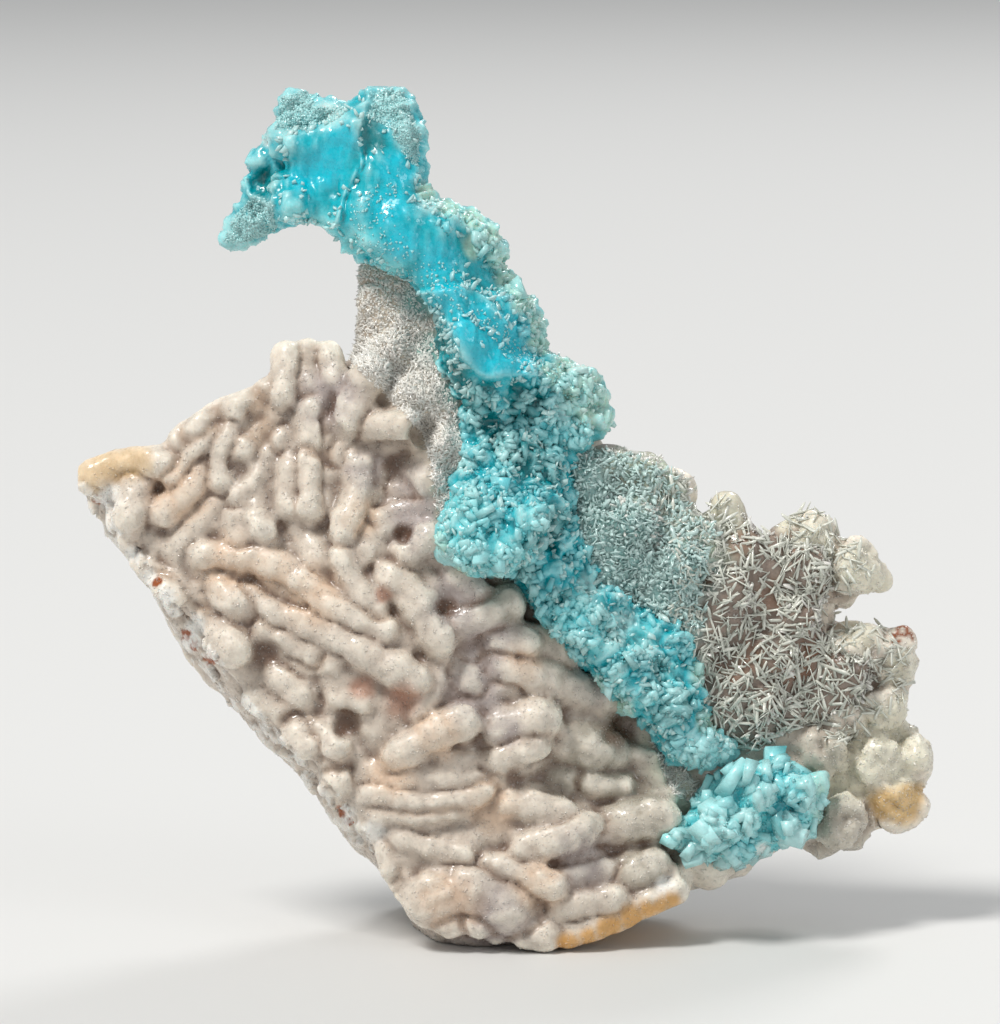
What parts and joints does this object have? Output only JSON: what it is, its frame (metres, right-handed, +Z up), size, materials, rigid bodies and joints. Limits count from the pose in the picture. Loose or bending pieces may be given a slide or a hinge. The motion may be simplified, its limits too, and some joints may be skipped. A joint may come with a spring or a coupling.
{
  "type": "barite mineral specimen",
  "caption": "Cabinet specimen: a plate of finger quartz with an overhanging turquoise crystal crest and a crust of bladed barite, standing on a flat foot.",
  "frame": {"origin": "middle of the flat foot, on the surface that the specimen stands on", "axes": "+Z up, the finger side faces -Y, +X to the right of someone who looks at that side"},
  "size_m": [0.1428, 0.0518, 0.1429],
  "materials": {
    "quartz": "milky, finely sparkling druse skin",
    "turquoise": "glassy, translucent, sparkling",
    "pale_turquoise": "glassy, translucent",
    "barite": "glassy white blades on grey-brown quartz"
  },
  "bodies": {
    "root": {"quartz_matrix": "quartz", "turquoise_crest": "turquoise", "turquoise_cluster": "pale_turquoise", "barite_blades": "barite"}
  },
  "joints": []
}
